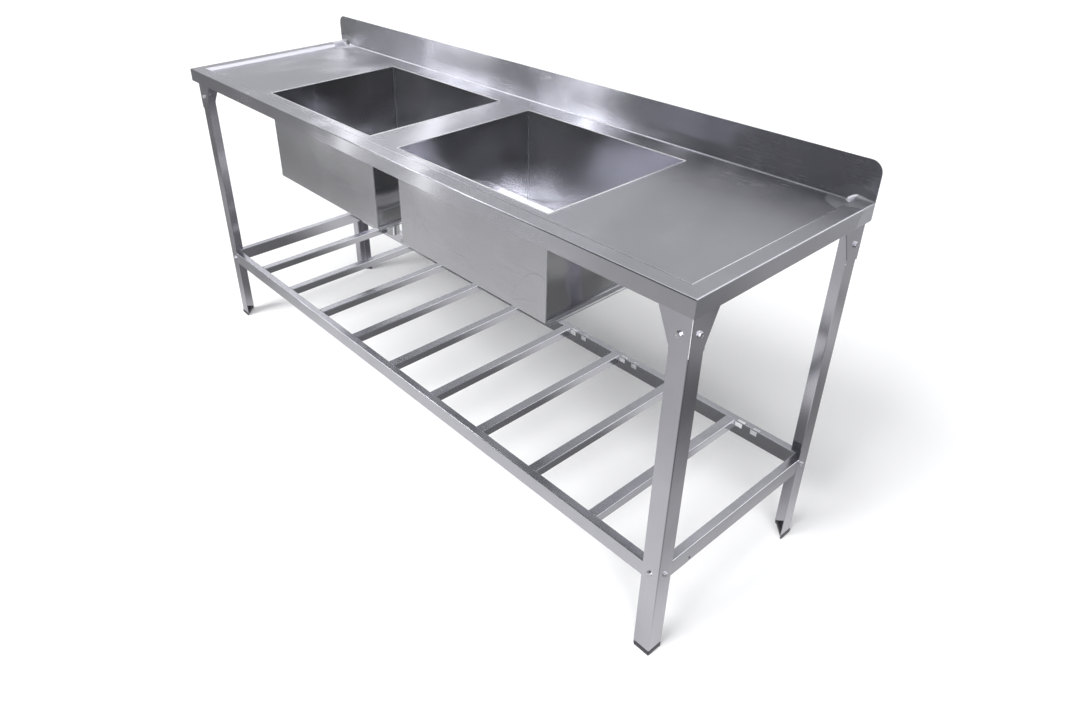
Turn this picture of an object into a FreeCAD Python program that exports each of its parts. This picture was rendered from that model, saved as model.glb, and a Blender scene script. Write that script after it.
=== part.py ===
import FreeCAD, Part

import math
import os

Vector = FreeCAD.Vector

# Two-bowl sink table of folded stainless sheet. Millimetres, +Z up, +X to the right, +Y to the
# back. The origin lies on the floor under the middle of the worktop.

# ---- Worktop -------------------------------------------------------------------------------
TOP_LENGTH = 1900.0          # outside the left and right aprons
TOP_DEPTH = 545.0            # front apron to the back of the splash
RIM_HEIGHT = 855.0           # floor to the raised rim
SPLASH_RISE = 81.0           # backsplash above the rim
SPLASH_CORNER = 25.0         # radius of the splash's two top corners
TOP_SHEET = 1.2
APRON_DROP = 37.0            # rim to the apron's lower edge
APRON_HEM = 12.0             # height of the closed hem inside the apron
RIM_WIDTH = 35.0             # flat part of the raised rim
STEP_RUN = 9.0               # plan width of the slope from the rim down to the deck
STEP_DROP = 8.0              # rim to deck
TOP_BEND = 1.6               # inside radius of the worktop's folds

# ---- Bowls ---------------------------------------------------------------------------------
BOWL_LENGTH = 500.0          # inside, left to right
BOWL_GAP = 112.0             # between the two bowls' inside faces
BOWL_FRONT_LEDGE = 67.5      # front apron to the bowl's front wall, inside
BOWL_REAR_LEDGE = 62.5       # back of the splash to the bowl's rear wall, inside
BOWL_DEPTH = 245.8           # deck to the floor along the walls
BOWL_SHEET = 1.2
BOWL_FALL = 4.0              # fall of the cross-broken floor to the drain
BOWL_BEND = 3.0              # inside radius where the front and rear walls turn into the floor
BOWL_FLANGE = 12.0           # out-turned flange seam-welded under the deck
BOWL_LIP = 8.0               # upturned edge of the floor sheet that laps each side wall
BOWL_CORNER_GAP = 0.5        # between a side wall's lower corners and the folds beside them

# ---- Deck stiffeners -----------------------------------------------------------------------
STIFFENER_SHEET = 1.2
STIFFENER_HEIGHT = 18.0
STIFFENER_CROWN = 34.0       # width of the hat's flat crown
STIFFENER_SLOPE = 6.0        # plan width of each sloping side
STIFFENER_FLANGE = 14.0
STIFFENER_END_GAP = 6.0      # from each end to the fold beside it
STIFFENER_BEND = 1.2

# ---- Legs, brackets and feet ---------------------------------------------------------------
LEG_WIDTH = 40.0
LEG_SHEET = 1.5
LEG_BEND = 1.2
LEG_INSET_LEFT = 38.0        # worktop's left end to the left brackets
LEG_INSET_REAR = 15.0        # back of the splash to the rear brackets
APRON_CLEARANCE = 0.2        # hem to the brackets that stand just behind it
BRACKET_SHEET = 1.5
BRACKET_BEND = 0.8
BRACKET_DROP = 76.0          # apron's lower edge to the bracket's lower edge
BRACKET_FLARE = 70.0         # flange width at the apron
BRACKET_STRAIGHT = 8.0       # height of the narrow part at the bottom
BRACKET_TOE = 6.0            # rounding where the flare starts and ends
BRACKET_PLATE = 70.0         # side of the square plate welded under the deck
BRACKET_PLATE_CUT = 10.0     # cut across the plate's inner corner
FOOT_HEIGHT = 10.0
FOOT_SOLE = 3.0              # thickness below the leg's end
FOOT_PROUD = 1.0             # shoe beyond the leg's outer faces
FOOT_SHORT = 2.0             # shoe stops this far short of the leg's edges
FOOT_SLANT = 4.0             # from the shoe's ends to the sloping side between the flanges
FOOT_INSIDE = 1.5            # shoe beyond the leg's inner faces where that side begins
FOOT_ROUND = 2.5

# ---- Undershelf rack -----------------------------------------------------------------------
SHELF_TOP = 245.0
RAIL_SHEET = 1.2
RAIL_WIDTH = 20.0
RAIL_HEIGHT = 38.0
RAIL_BEND = 1.0
RAIL_NICK = 2.0              # corner nick that clears the bend inside each leg
SLAT_COUNT = 9
SLAT_WIDTH = 25.0
SLAT_HEIGHT = 21.0
SLAT_SHEET = 1.2

# ---- Fasteners, M6 -------------------------------------------------------------------------
BOLT_DIAMETER = 6.0
BOLT_HOLE = 6.8
BOLT_FLATS = 10.0            # across the flats of head and nut
HEAD_HEIGHT = 4.0
NUT_HEIGHT = 5.0
NUT_CLEARANCE = 0.05         # radial, between the shank and the nut's bore
BOLT_TAIL = 1.5              # shank beyond the nut
BOLT_FROM_CORNER = 22.0      # leg's outer corner to each bolt
BRACKET_BOLT_DROP = 38.0     # apron's lower edge to the bracket bolts

# ---- Basket strainer and tailpiece, radii unless the comment says otherwise ----------------
STRAINER_CUP = 43.0          # outside of the threaded cup
STRAINER_FLANGE = 14.0       # width of the flange beyond the cup
STRAINER_SHEET = 1.5
STRAINER_DEPTH = 50.0
STRAINER_CONE = 16.0         # height of the cup's conical lower part
STRAINER_TAPER = 13.0        # plan width of that cone
SEAT_RECESS = 2.5            # depth of the pressed seat in the bowl's floor
SEAT_CLEARANCE = 1.0         # radial, flange in its seat and cup in its hole
THREAD_CLEARANCE = 0.05      # radial, nuts on their threads
GASKET_WIDTH = 13.0
GASKET_THICKNESS = 3.0
LOCKNUT_WALL = 7.0
LOCKNUT_HEIGHT = 11.0
LOCKNUT_LUGS = 8
LUG_LENGTH = 6.5
LUG_WIDTH = 10.0
TAIL_RADIUS = 19.0           # outside of the tailpiece
TAIL_WALL = 1.5
TAIL_LENGTH = 85.0
TAIL_FLANGE = 3.5            # width of the tailpiece's flange
TAIL_FLANGE_THICKNESS = 2.0
TAIL_COLLAR = 0.6            # thicker root under the flange, beyond the tube
COLLAR_REACH = 1.5           # collar below the coupling nut
TAIL_WASHER = 2.5            # thickness
TAIL_CLEARANCE = 0.4         # radial, coupling nut round the collar and the flange
SPIGOT_WALL = 3.0
SPIGOT_LENGTH = 20.0
COUPLING_WALL = 6.0          # thread to each flat of the hexagon
COUPLING_OVERLAP = 14.0      # length of nut screwed on the spigot
COUPLING_LIP = 4.0           # thickness of its inward lip
STOPPER_OVERLAP = 4.0        # rubber stopper beyond the spigot's bore
STOPPER_THICKNESS = 4.0
BASKET_CLEARANCE = 3.5       # radial, basket's rim in the cup
BASKET_TAPER = 6.0           # rim to foot
BASKET_HEIGHT = 30.0
BASKET_SHEET = 1.0
BASKET_SLOTS = 8
SLOT_WIDTH = 3.0
SLOT_MARGIN = 6.0            # solid wall above and below the slots
BASKET_HOLES = 8
HOLE_RADIUS = 2.5
HOLE_INSET = 10.0            # basket's foot to the ring of holes
POST_RADIUS = 4.0
POST_RISE = 20.0             # post above the basket's floor
KNOB_RADIUS = 9.0
KNOB_HEIGHT = 7.0
EASED = 0.8                  # small bevel on turned and moulded edges

# ---- Places that follow from the sizes above -----------------------------------------------
half_length = TOP_LENGTH / 2
half_depth = TOP_DEPTH / 2
deck_top = RIM_HEIGHT - STEP_DROP
deck_under = deck_top - TOP_SHEET
deck_edge = RIM_WIDTH + STEP_RUN
apron_bottom = RIM_HEIGHT - APRON_DROP
splash_foot = TOP_BEND + TOP_SHEET
bowl_front = BOWL_FRONT_LEDGE - half_depth
bowl_rear = half_depth - BOWL_REAR_LEDGE
bowl_middle = (bowl_front + bowl_rear) / 2
bowl_offset = (BOWL_GAP + BOWL_LENGTH) / 2
bowl_edge = deck_top - BOWL_DEPTH
drain_low = bowl_edge - BOWL_FALL
seat_top = drain_low - SEAT_RECESS
hem_thickness = 2 * TOP_SHEET
bracket_front = hem_thickness + APRON_CLEARANCE - half_depth
bracket_rear = half_depth - LEG_INSET_REAR
bracket_left = LEG_INSET_LEFT - half_length
bracket_right = half_length - hem_thickness - APRON_CLEARANCE
bracket_bottom = apron_bottom - BRACKET_DROP
leg_top = deck_under - BRACKET_SHEET
frame_inset = BRACKET_SHEET + LEG_SHEET
frame_left = bracket_left + frame_inset
frame_right = bracket_right - frame_inset
frame_front = bracket_front + frame_inset
frame_rear = bracket_rear - frame_inset
bracket_bolt_height = apron_bottom - BRACKET_BOLT_DROP
shelf_bolt_height = SHELF_TOP - RAIL_HEIGHT / 2
flange_radius = STRAINER_CUP + STRAINER_FLANGE
cup_bore = STRAINER_CUP - STRAINER_SHEET
cup_floor = seat_top - STRAINER_DEPTH
tail_flange = TAIL_RADIUS + TAIL_FLANGE
spigot_radius = tail_flange + TAIL_CLEARANCE + THREAD_CLEARANCE
spigot_bore = spigot_radius - SPIGOT_WALL
spigot_end = cup_floor - SPIGOT_LENGTH
tail_top = spigot_end - TAIL_WASHER
stopper_top = cup_floor + STRAINER_SHEET + STOPPER_THICKNESS
basket_rim = cup_bore - BASKET_CLEARANCE
basket_foot = basket_rim - BASKET_TAPER

CORNERS = {
    "front_left": (bracket_left, bracket_front, 1, 1),
    "front_right": (bracket_right, bracket_front, -1, 1),
    "rear_left": (bracket_left, bracket_rear, 1, -1),
    "rear_right": (bracket_right, bracket_rear, -1, -1),
}
BOWLS = {"left": -bowl_offset, "right": bowl_offset}


# ---- Drawing helpers -----------------------------------------------------------------------
def rounded_wire(corners, place):
    """Closed wire through corners (u, v, radius). place turns (u, v) into a point in space."""
    points = [Vector(u, v, 0) for u, v, radius in corners]
    pieces = []
    for index, (u, v, radius) in enumerate(corners):
        here = points[index]
        back = (points[index - 1] - here).normalize()
        ahead = (points[(index + 1) % len(points)] - here).normalize()
        if radius == 0:
            pieces.append([here])
            continue
        half_angle = back.getAngle(ahead) / 2
        reach = radius / math.tan(half_angle)
        bulge = radius / math.sin(half_angle) - radius
        toward = (back + ahead).normalize()
        pieces.append([here + back * reach, here + toward * bulge, here + ahead * reach])
    edges = []
    for index, piece in enumerate(pieces):
        following = pieces[(index + 1) % len(pieces)]
        placed = [place(point.x, point.y) for point in piece]
        start = place(following[0].x, following[0].y)
        if len(placed) == 3:
            edges.append(Part.Arc(*placed).toShape())
        if placed[-1].distanceToPoint(start) > 1e-6:
            edges.append(Part.LineSegment(placed[-1], start).toShape())
    return Part.Wire(edges)


def sheet_wire(path, thickness, bend, place):
    """Section of a folded sheet. path is one face; the sheet's thickness lies to its left."""
    points = [Vector(u, v, 0) for u, v in path]
    near = []
    far = []
    for index, here in enumerate(points):
        before = points[max(index - 1, 0)]
        after = points[min(index + 1, len(points) - 1)]
        coming = (here - before if index > 0 else after - here).normalize()
        going = (after - here if index < len(points) - 1 else here - before).normalize()
        normal = Vector(-coming.y - going.y, coming.x + going.x, 0)
        shift = normal * (thickness / (1 + coming.dot(going)))
        turn = coming.cross(going).z
        inner = bend if turn else 0
        outer = bend + thickness if turn else 0
        near.append((here.x, here.y, outer if turn > 0 else inner))
        far.append((here.x + shift.x, here.y + shift.y, inner if turn > 0 else outer))
    return rounded_wire(near + far[::-1], place)


def in_plan(height):
    return lambda x, y: Vector(x, y, height)


def prism(wire, direction):
    return Part.Face(wire).extrude(direction)


def box(x0, y0, z0, x1, y1, z1):
    return Part.makeBox(x1 - x0, y1 - y0, z1 - z0, Vector(x0, y0, z0))


def turned(corners, center_x, center_y):
    """Body turned about the vertical through the centre from corners (radius, height, round)."""
    wire = rounded_wire(corners, lambda r, z: Vector(center_x + r, center_y, z))
    return Part.Face(wire).revolve(Vector(center_x, center_y, 0), Vector(0, 0, 1), 360)


def hexagon(flats, center):
    radius = flats / math.sqrt(3)
    angles = [math.radians(60 * step) for step in range(7)]
    return Part.makePolygon([
        center + Vector(radius * math.cos(angle), radius * math.sin(angle), 0)
        for angle in angles
    ])


def at_corner(shape, corner):
    """Moves a piece drawn in the first quadrant to a leg's corner, mirrored to face inward."""
    x, y, side_x, side_y = corner
    if side_x < 0:
        shape = shape.mirror(Vector(), Vector(1, 0, 0))
    if side_y < 0:
        shape = shape.mirror(Vector(), Vector(0, 1, 0))
    shape.translate(Vector(x, y, 0))
    return shape


def hole_pair(offset, height, radius, depth):
    """Cutters for the two bolt holes of a corner, drawn in the first quadrant."""
    along_y = Part.makeCylinder(radius, depth, Vector(offset, -1, height), Vector(0, 1, 0))
    along_x = Part.makeCylinder(radius, depth, Vector(-1, offset, height), Vector(1, 0, 0))
    return along_y.fuse(along_x)


# ---- Worktop -------------------------------------------------------------------------------
def rim_and_apron():
    """Apron, rim and step as one folded section, swept round three sides with mitred corners."""
    path = Part.makePolygon([
        Vector(-half_length, half_depth, RIM_HEIGHT),
        Vector(-half_length, -half_depth, RIM_HEIGHT),
        Vector(half_length, -half_depth, RIM_HEIGHT),
        Vector(half_length, half_depth, RIM_HEIGHT),
    ])

    def place(inward, height):
        return Vector(inward - half_length, half_depth, height)

    folds = [
        (deck_edge + TOP_BEND + TOP_SHEET, deck_top),
        (deck_edge, deck_top),
        (RIM_WIDTH, RIM_HEIGHT),
        (0, RIM_HEIGHT),
        (0, apron_bottom + TOP_SHEET),
    ]
    hem = [
        (0, apron_bottom, TOP_SHEET),
        (hem_thickness, apron_bottom, TOP_SHEET),
        (hem_thickness, apron_bottom + APRON_HEM, 0),
        (0, apron_bottom + APRON_HEM, 0),
    ]
    sheet = path.makePipeShell([sheet_wire(folds, TOP_SHEET, TOP_BEND, place)], True, False, 1)
    return sheet.fuse(path.makePipeShell([rounded_wire(hem, place)], True, False, 1))


def deck_and_splash():
    """Deck folded up into the backsplash, whose plain ends close the side rims."""
    inner_end = half_length - deck_edge
    folds = [
        (deck_edge - half_depth, deck_under),
        (half_depth, deck_under),
        (half_depth, RIM_HEIGHT),
    ]

    def place(y, z):
        return Vector(-inner_end, y, z)

    fold = prism(sheet_wire(folds, TOP_SHEET, TOP_BEND, place), Vector(2 * inner_end, 0, 0))
    plate = box(
        -half_length, half_depth - TOP_SHEET, deck_top + TOP_BEND,
        half_length, half_depth, RIM_HEIGHT + SPLASH_RISE)
    top_corners = [
        edge for edge in plate.Edges
        if abs(edge.CenterOfMass.z - plate.BoundBox.ZMax) < 0.01
        and abs(abs(edge.CenterOfMass.x) - half_length) < 0.01
    ]
    return fold.fuse(plate.makeFillet(SPLASH_CORNER, top_corners))


def worktop():
    """One welded sheet: folded rim, recessed deck, splash, and an opening over each bowl."""
    top = rim_and_apron().fuse(deck_and_splash())
    for center in BOWLS.values():
        left = center - BOWL_LENGTH / 2
        opening = box(
            left, bowl_front, bowl_edge, left + BOWL_LENGTH, bowl_rear, RIM_HEIGHT)
        top = top.cut(opening)
    return top.removeSplitter()


# ---- Bowls ---------------------------------------------------------------------------------
def bowl_block(center, grow, top):
    """Solid that fills a bowl's hollow up to the height top, grown by the sheet's thickness."""
    left = center - BOWL_LENGTH / 2 - grow
    right = center + BOWL_LENGTH / 2 + grow
    front = bowl_front - grow
    rear = bowl_rear + grow
    edge = bowl_edge - grow
    walls = box(left, front, edge, right, rear, top)
    outline = Part.makePolygon([
        Vector(left, front, edge),
        Vector(right, front, edge),
        Vector(right, rear, edge),
        Vector(left, rear, edge),
        Vector(left, front, edge),
    ])
    drain_point = Part.Vertex(center, bowl_middle, drain_low - grow)
    block = walls.fuse(Part.makeLoft([outline, drain_point], True, True)).removeSplitter()
    long_edges = [
        line for line in block.Edges
        if abs(line.CenterOfMass.z - edge) < 0.01
        and abs(abs(line.CenterOfMass.y - bowl_middle) - (rear - front) / 2) < 0.01
    ]
    block = block.makeFillet(BOWL_BEND + grow, long_edges)
    seat = Part.makeCylinder(
        flange_radius + SEAT_CLEARANCE + grow, edge - seat_top + grow,
        Vector(center, bowl_middle, seat_top - grow))
    return block.fuse(seat)


def side_wall_prism(center, side, corner_radius, top):
    """Upright plate at one end of a bowl, its lower corners rounded to clear the folds."""
    inner = center + side * BOWL_LENGTH / 2
    outline = [
        (bowl_front, bowl_edge, corner_radius),
        (bowl_rear, bowl_edge, corner_radius),
        (bowl_rear, top, 0),
        (bowl_front, top, 0),
    ]
    wire = rounded_wire(outline, lambda y, z: Vector(inner, y, z))
    return prism(wire, Vector(side * BOWL_SHEET, 0, 0))


def bowl(center):
    """Folded front, floor and rear, cross-broken toward the drain, open at both ends."""
    half = BOWL_LENGTH / 2
    shell = bowl_block(center, BOWL_SHEET, deck_under)
    for wall in (bowl_front, bowl_rear):
        outward = math.copysign(BOWL_FLANGE, wall - bowl_middle)
        near, far = sorted((wall, wall + outward))
        shell = shell.fuse(box(
            center - half - BOWL_FLANGE, near, deck_under - BOWL_SHEET,
            center + half + BOWL_FLANGE, far, deck_under))
    shell = shell.cut(bowl_block(center, 0, deck_top))
    for side in (-1, 1):
        outer = center + side * (half + BOWL_SHEET)
        near, far = sorted((outer, outer + side * BOWL_SHEET))
        shell = shell.fuse(box(
            near, bowl_front + BOWL_BEND, bowl_edge - BOWL_SHEET,
            far, bowl_rear - BOWL_BEND, bowl_edge + BOWL_LIP))
        shell = shell.cut(side_wall_prism(center, side, BOWL_BEND, deck_under))
    hole = Part.makeCylinder(
        STRAINER_CUP + SEAT_CLEARANCE, STRAINER_DEPTH,
        Vector(center, bowl_middle, seat_top - STRAINER_DEPTH / 2))
    return shell.cut(hole).removeSplitter()


def bowl_side(center, side):
    """Side wall welded between the folded sheet's walls, with its flange under the deck."""
    wall = side_wall_prism(center, side, BOWL_BEND + BOWL_CORNER_GAP, deck_under)
    inner = center + side * BOWL_LENGTH / 2
    near, far = sorted((inner, inner + side * BOWL_FLANGE))
    flange = box(near, bowl_front, deck_under - BOWL_SHEET, far, bowl_rear, deck_under)
    return wall.fuse(flange).removeSplitter()


# ---- Deck stiffeners -----------------------------------------------------------------------
def stiffener(side):
    """Hat channel welded front to back under the middle of one drainboard."""
    outer = half_length - deck_edge
    inner = bowl_offset + BOWL_LENGTH / 2 + BOWL_FLANGE
    middle = side * (outer + inner) / 2
    crown = STIFFENER_CROWN / 2
    foot = crown + STIFFENER_SLOPE
    low = deck_under - STIFFENER_HEIGHT
    top = deck_under - STIFFENER_SHEET
    front = deck_edge - half_depth + STIFFENER_END_GAP
    rear = half_depth - splash_foot - STIFFENER_END_GAP
    folds = [
        (-foot - STIFFENER_FLANGE, top),
        (-foot, top),
        (-crown, low),
        (crown, low),
        (foot, top),
        (foot + STIFFENER_FLANGE, top),
    ]

    def place(x, z):
        return Vector(middle + x, front, z)

    wire = sheet_wire(folds, STIFFENER_SHEET, STIFFENER_BEND, place)
    return prism(wire, Vector(0, rear - front, 0))


# ---- Legs, brackets and feet, each drawn with its corner at the origin ---------------------
def leg_prism(low, high):
    """Folded angle of the leg's section between two heights."""
    start = BRACKET_SHEET
    end = start + LEG_WIDTH
    folds = [(start, end), (start, start), (end, start)]
    wire = sheet_wire(folds, LEG_SHEET, LEG_BEND, in_plan(low))
    return prism(wire, Vector(0, 0, high - low))


def leg(corner):
    """Angle inside its bracket, standing in its shoe, with a hole pair at each bolt height."""
    angle = leg_prism(FOOT_SOLE, leg_top)
    offset = BRACKET_SHEET + BOLT_FROM_CORNER
    for height in (bracket_bolt_height, shelf_bolt_height):
        angle = angle.cut(hole_pair(offset, height, BOLT_HOLE / 2, LEG_WIDTH / 2))
    return at_corner(angle, corner)


def bracket_flange(flare):
    """One flange in the XZ plane, flared from the leg's width to the given width."""
    narrow = BRACKET_SHEET + LEG_WIDTH
    toe = BRACKET_TOE if flare > narrow else 0
    outline = [
        (0, bracket_bottom, 0),
        (narrow, bracket_bottom, 0),
        (narrow, bracket_bottom + BRACKET_STRAIGHT, toe),
        (flare, apron_bottom, toe),
        (flare, deck_under, 0),
        (0, deck_under, 0),
    ]
    wire = rounded_wire(outline, lambda x, z: Vector(x, 0, z))
    return prism(wire, Vector(0, BRACKET_SHEET, 0))


def bracket(corner):
    """Folded gusset round the head of a leg, with the plate that is welded under the deck."""
    front_or_rear = BRACKET_FLARE if corner[3] > 0 else BRACKET_SHEET + LEG_WIDTH
    broad = bracket_flange(front_or_rear)
    side = bracket_flange(BRACKET_FLARE).mirror(Vector(), Vector(1, -1, 0))
    cut = BRACKET_PLATE - BRACKET_PLATE_CUT
    plate = prism(
        Part.makePolygon([
            Vector(0, 0, leg_top),
            Vector(BRACKET_PLATE, 0, leg_top),
            Vector(BRACKET_PLATE, cut, leg_top),
            Vector(cut, BRACKET_PLATE, leg_top),
            Vector(0, BRACKET_PLATE, leg_top),
            Vector(0, 0, leg_top),
        ]),
        Vector(0, 0, BRACKET_SHEET))
    gusset = broad.fuse([side, plate]).removeSplitter()
    fold = [
        edge for edge in gusset.Edges
        if edge.Length > BRACKET_DROP and math.hypot(edge.CenterOfMass.x, edge.CenterOfMass.y) < 0.01
    ]
    gusset = gusset.makeFillet(BRACKET_SHEET + BRACKET_BEND, fold)
    offset = BRACKET_SHEET + BOLT_FROM_CORNER
    holes = hole_pair(offset, bracket_bolt_height, BOLT_HOLE / 2, LEG_WIDTH / 2)
    return at_corner(gusset.cut(holes), corner)


def foot(corner):
    """Plastic shoe: a sole, a wall outside the leg and a web between its flanges."""
    low = BRACKET_SHEET - FOOT_PROUD
    tip = BRACKET_SHEET + LEG_WIDTH - FOOT_SHORT
    seat = BRACKET_SHEET + LEG_SHEET
    inner = seat + FOOT_INSIDE
    reach = tip - FOOT_SLANT
    outline = rounded_wire(
        [
            (low, low, FOOT_ROUND),
            (tip, low, 0),
            (tip, seat, 0),
            (reach, inner, 0),
            (inner, reach, 0),
            (seat, tip, 0),
            (low, tip, 0),
        ],
        in_plan(0))
    shoe = prism(outline, Vector(0, 0, FOOT_HEIGHT)).cut(leg_prism(FOOT_SOLE, FOOT_HEIGHT))
    return at_corner(shoe.removeSplitter(), corner)


# ---- Undershelf rack -----------------------------------------------------------------------
def channel_wire(width, height, sheet, place):
    """Section of an inverted channel, its top face at the shelf's height."""
    half = width / 2
    low = SHELF_TOP - height
    folds = [(half, low), (half, SHELF_TOP), (-half, SHELF_TOP), (-half, low)]
    return sheet_wire(folds, sheet, RAIL_BEND, place)


def rail(start, end, inward):
    """Channel along one side of the rack, mitred at both ends, holed for the leg bolts.

    start and end are the frame's outer corners, inward the unit vector to its inside."""
    run = end - start
    along = Vector(run).normalize()
    middle = start + inward * (RAIL_WIDTH / 2)

    def place(across, height):
        point = middle + inward * across
        return Vector(point.x, point.y, height)

    channel = prism(channel_wire(RAIL_WIDTH, RAIL_HEIGHT, RAIL_SHEET, place), run)
    corners = [
        start + along * RAIL_NICK,
        end - along * RAIL_NICK,
        end + (inward - along) * (RAIL_NICK / 2),
        end + (inward - along) * RAIL_WIDTH,
        start + (inward + along) * RAIL_WIDTH,
        start + (inward + along) * (RAIL_NICK / 2),
    ]
    base = Vector(0, 0, SHELF_TOP - RAIL_HEIGHT)
    outline = Part.makePolygon([point + base for point in corners + corners[:1]])
    channel = channel.common(prism(outline, Vector(0, 0, RAIL_HEIGHT)))
    offset = BOLT_FROM_CORNER - LEG_SHEET
    for point in (start + along * offset, end - along * offset):
        center = point - inward + Vector(0, 0, shelf_bolt_height)
        channel = channel.cut(Part.makeCylinder(BOLT_HOLE / 2, RAIL_WIDTH / 2, center, inward))
    return channel


def rails():
    front_left = Vector(frame_left, frame_front, 0)
    front_right = Vector(frame_right, frame_front, 0)
    rear_left = Vector(frame_left, frame_rear, 0)
    rear_right = Vector(frame_right, frame_rear, 0)
    return {
        "shelf_front_rail": rail(front_left, front_right, Vector(0, 1, 0)),
        "shelf_rear_rail": rail(rear_left, rear_right, Vector(0, -1, 0)),
        "shelf_left_rail": rail(front_left, rear_left, Vector(1, 0, 0)),
        "shelf_right_rail": rail(front_right, rear_right, Vector(-1, 0, 0)),
    }


def slat(index):
    """Channel between the long rails; the slats divide the rack into equal bays."""
    clear = frame_right - frame_left - 2 * RAIL_WIDTH
    bay = (clear - SLAT_COUNT * SLAT_WIDTH) / (SLAT_COUNT + 1)
    middle = frame_left + RAIL_WIDTH + index * (bay + SLAT_WIDTH) - SLAT_WIDTH / 2
    front = frame_front + RAIL_WIDTH
    rear = frame_rear - RAIL_WIDTH

    def place(x, z):
        return Vector(middle + x, front, z)

    wire = channel_wire(SLAT_WIDTH, SLAT_HEIGHT, SLAT_SHEET, place)
    return prism(wire, Vector(0, rear - front, 0))


# ---- Fasteners -----------------------------------------------------------------------------
def bolt_shape(grip):
    """Hex bolt along +Z, the underside of its head at the origin."""
    head = prism(hexagon(BOLT_FLATS, Vector(0, 0, -HEAD_HEIGHT)), Vector(0, 0, HEAD_HEIGHT))
    length = grip + NUT_HEIGHT + BOLT_TAIL
    return head.fuse(Part.makeCylinder(BOLT_DIAMETER / 2, length))


def nut_shape(grip):
    """Hex nut on a bolt of the same grip."""
    nut = prism(hexagon(BOLT_FLATS, Vector(0, 0, grip)), Vector(0, 0, NUT_HEIGHT))
    bore = Part.makeCylinder(BOLT_DIAMETER / 2 + NUT_CLEARANCE, grip + NUT_HEIGHT)
    return nut.cut(bore)


def corner_pair(shape, surface, height, corner):
    """Two copies of a fastener drawn along +Z, one through each flange of a corner."""
    offset = BRACKET_SHEET + BOLT_FROM_CORNER
    through_y = shape.copy()
    through_y.rotate(Vector(), Vector(1, 0, 0), -90)
    through_y.translate(Vector(offset, surface, height))
    through_x = shape.copy()
    through_x.rotate(Vector(), Vector(0, 1, 0), 90)
    through_x.translate(Vector(surface, offset, height))
    return [at_corner(through_y, corner), at_corner(through_x, corner)]


def fasteners():
    bracket_grip = BRACKET_SHEET + LEG_SHEET
    shelf_grip = LEG_SHEET + RAIL_SHEET
    groups = {"bracket_bolts": [], "bracket_nuts": [], "shelf_bolts": [], "shelf_nuts": []}
    for corner in CORNERS.values():
        groups["bracket_bolts"] += corner_pair(
            bolt_shape(bracket_grip), 0, bracket_bolt_height, corner)
        groups["bracket_nuts"] += corner_pair(
            nut_shape(bracket_grip), 0, bracket_bolt_height, corner)
        groups["shelf_bolts"] += corner_pair(
            bolt_shape(shelf_grip), BRACKET_SHEET, shelf_bolt_height, corner)
        groups["shelf_nuts"] += corner_pair(
            nut_shape(shelf_grip), BRACKET_SHEET, shelf_bolt_height, corner)
    return {name: Part.makeCompound(pieces) for name, pieces in groups.items()}


# ---- Basket strainer and tailpiece, one set per bowl ---------------------------------------
def strainer_body(x, y):
    """Pressed cup with a flange in the bowl's seat and a threaded spigot below."""
    rim = seat_top + STRAINER_SHEET
    cone_top = cup_floor + STRAINER_CONE
    return turned(
        [
            (flange_radius, seat_top, 0),
            (flange_radius, rim, 0),
            (STRAINER_CUP, rim, 0),
            (cup_bore, rim - STRAINER_SHEET, 0),
            (cup_bore, cone_top, 0),
            (cup_bore - STRAINER_TAPER, cup_floor + STRAINER_SHEET, 0),
            (spigot_bore, cup_floor + STRAINER_SHEET, 0),
            (spigot_bore, spigot_end, 0),
            (spigot_radius, spigot_end, 0),
            (spigot_radius, cup_floor, 0),
            (STRAINER_CUP - STRAINER_TAPER, cup_floor, 0),
            (STRAINER_CUP, cone_top, 0),
            (STRAINER_CUP, seat_top, 0),
        ], x, y)


def ring(inner, outer, low, high, x, y):
    return turned(
        [(inner, low, 0), (outer, low, 0), (outer, high, 0), (inner, high, 0)], x, y)


def strainer_gasket(x, y):
    high = seat_top - BOWL_SHEET
    inner = STRAINER_CUP + THREAD_CLEARANCE
    return ring(inner, inner + GASKET_WIDTH, high - GASKET_THICKNESS, high, x, y)


def strainer_locknut(x, y):
    """Lugged ring nut that draws the strainer down on its gasket."""
    high = seat_top - BOWL_SHEET - GASKET_THICKNESS
    low = high - LOCKNUT_HEIGHT
    inner = STRAINER_CUP + THREAD_CLEARANCE
    outer = inner + LOCKNUT_WALL
    nut = ring(inner, outer, low, high, x, y)
    for index in range(LOCKNUT_LUGS):
        lug = box(inner, -LUG_WIDTH / 2, low, outer + LUG_LENGTH, LUG_WIDTH / 2, high)
        lug = lug.cut(Part.makeCylinder((inner + outer) / 2, high))
        lug.rotate(Vector(), Vector(0, 0, 1), index * 360 / LOCKNUT_LUGS)
        lug.translate(Vector(x, y, 0))
        nut = nut.fuse(lug)
    return nut.removeSplitter()


def tailpiece(x, y):
    """Flanged tube that leads the water down from the strainer."""
    bore = TAIL_RADIUS - TAIL_WALL
    collar = TAIL_RADIUS + TAIL_COLLAR
    flange_low = tail_top - TAIL_FLANGE_THICKNESS
    collar_low = flange_low - COUPLING_LIP - COLLAR_REACH
    return turned(
        [
            (bore, tail_top, 0),
            (bore, tail_top - TAIL_LENGTH, 0),
            (TAIL_RADIUS, tail_top - TAIL_LENGTH, 0),
            (TAIL_RADIUS, collar_low, 0),
            (collar, collar_low, 0),
            (collar, flange_low, 0),
            (tail_flange, flange_low, 0),
            (tail_flange, tail_top, 0),
        ], x, y)


def tail_washer(x, y):
    return ring(TAIL_RADIUS - TAIL_WALL, tail_flange, tail_top, spigot_end, x, y)


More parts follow.
